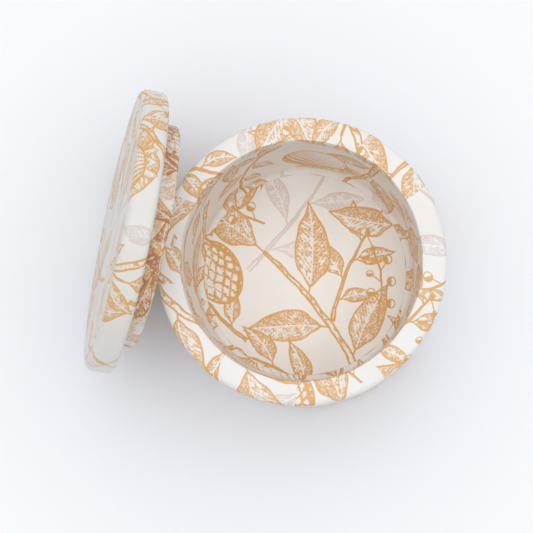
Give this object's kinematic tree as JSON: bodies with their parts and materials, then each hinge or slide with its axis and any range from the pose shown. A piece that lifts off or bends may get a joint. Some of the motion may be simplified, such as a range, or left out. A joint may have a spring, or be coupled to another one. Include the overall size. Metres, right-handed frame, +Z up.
{
  "type": "decoupage box",
  "caption": "Small round wooden trinket box with a stepped lift-off lid, covered inside and out with printed paper; the lid stands on its edge and leans on the open box.",
  "frame": {"origin": "centre of the box's flat underside, on the surface that it stands on", "axes": "+Z up along the box's axis; the lid stands on its edge on the -X side, turned 10.25 degrees towards +Y, and leans on the rim"},
  "size_m": [0.1181, 0.0997, 0.088],
  "materials": {
    "turned_wood": "bare turned wood under the paper",
    "printed_paper": "off-white paper with an ochre and faint mauve botanical line print, satin varnish",
    "rust_printed_paper": "the same print where it is dense and rust brown, round the lid's plug"
  },
  "bodies": {
    "box": {"cup_wood": "turned_wood", "base_paper": "printed_paper", "wall_paper": "printed_paper", "bore_paper": "printed_paper", "floor_paper": "printed_paper", "rim_strip_01": "printed_paper", "rim_strip_02": "printed_paper", "rim_strip_03": "printed_paper", "rim_strip_04": "printed_paper", "rim_strip_05": "printed_paper", "rim_strip_06": "printed_paper", "rim_strip_07": "printed_paper", "rim_strip_08": "printed_paper", "rim_strip_09": "printed_paper", "rim_strip_10": "printed_paper"},
    "lid": {"lid_wood": "turned_wood", "lid_top_paper": "printed_paper", "lid_edge_paper": "printed_paper", "lid_step_paper": "printed_paper", "plug_edge_paper": "rust_printed_paper", "plug_face_paper": "printed_paper"}
  },
  "joints": [
    {"name": "lid_lift", "type": "slide", "parent": "box", "child": "lid", "axis": [0, 0, 1], "range_m": [0, 0.12]}
  ]
}
